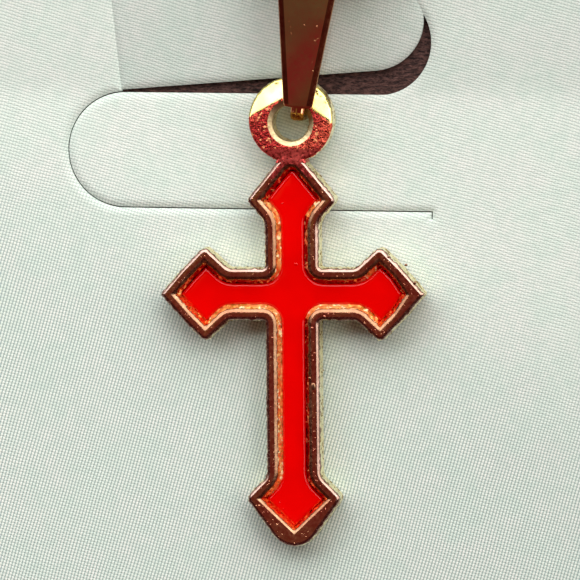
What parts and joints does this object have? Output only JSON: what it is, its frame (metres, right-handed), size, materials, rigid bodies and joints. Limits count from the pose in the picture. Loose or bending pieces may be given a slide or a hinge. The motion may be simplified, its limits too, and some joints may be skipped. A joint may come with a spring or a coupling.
{
  "type": "cross necklace on a display card",
  "caption": "Cross charm with red enamel in a raised gold rim, on a folded bail and a fine chain, laid on a woven display card with a tongued slit.",
  "frame": {"origin": "centre of the card's underside", "axes": "+Z out of the card's face, +Y up the card from the cross towards its bail and the chain, +X across the card to the right as one looks at its face"},
  "size_m": [0.1172, 0.2365, 0.0065],
  "materials": {
    "gold_casting": "polished gold plating over a cast zinc alloy",
    "red_enamel": "glossy red enamel",
    "gold_strip": "polished gold plating",
    "gold_wire": "polished gold plating",
    "woven_face": "pale grey-green fine weave",
    "fibre_backing": "dark brown fibrous board"
  },
  "bodies": {
    "root": {"cross_body": "gold_casting", "enamel": "red_enamel", "bail": "gold_strip", "chain": "gold_wire", "clasp": "gold_wire", "end_ring": "gold_wire", "card_face": "woven_face", "card_backing": "fibre_backing"}
  },
  "joints": []
}
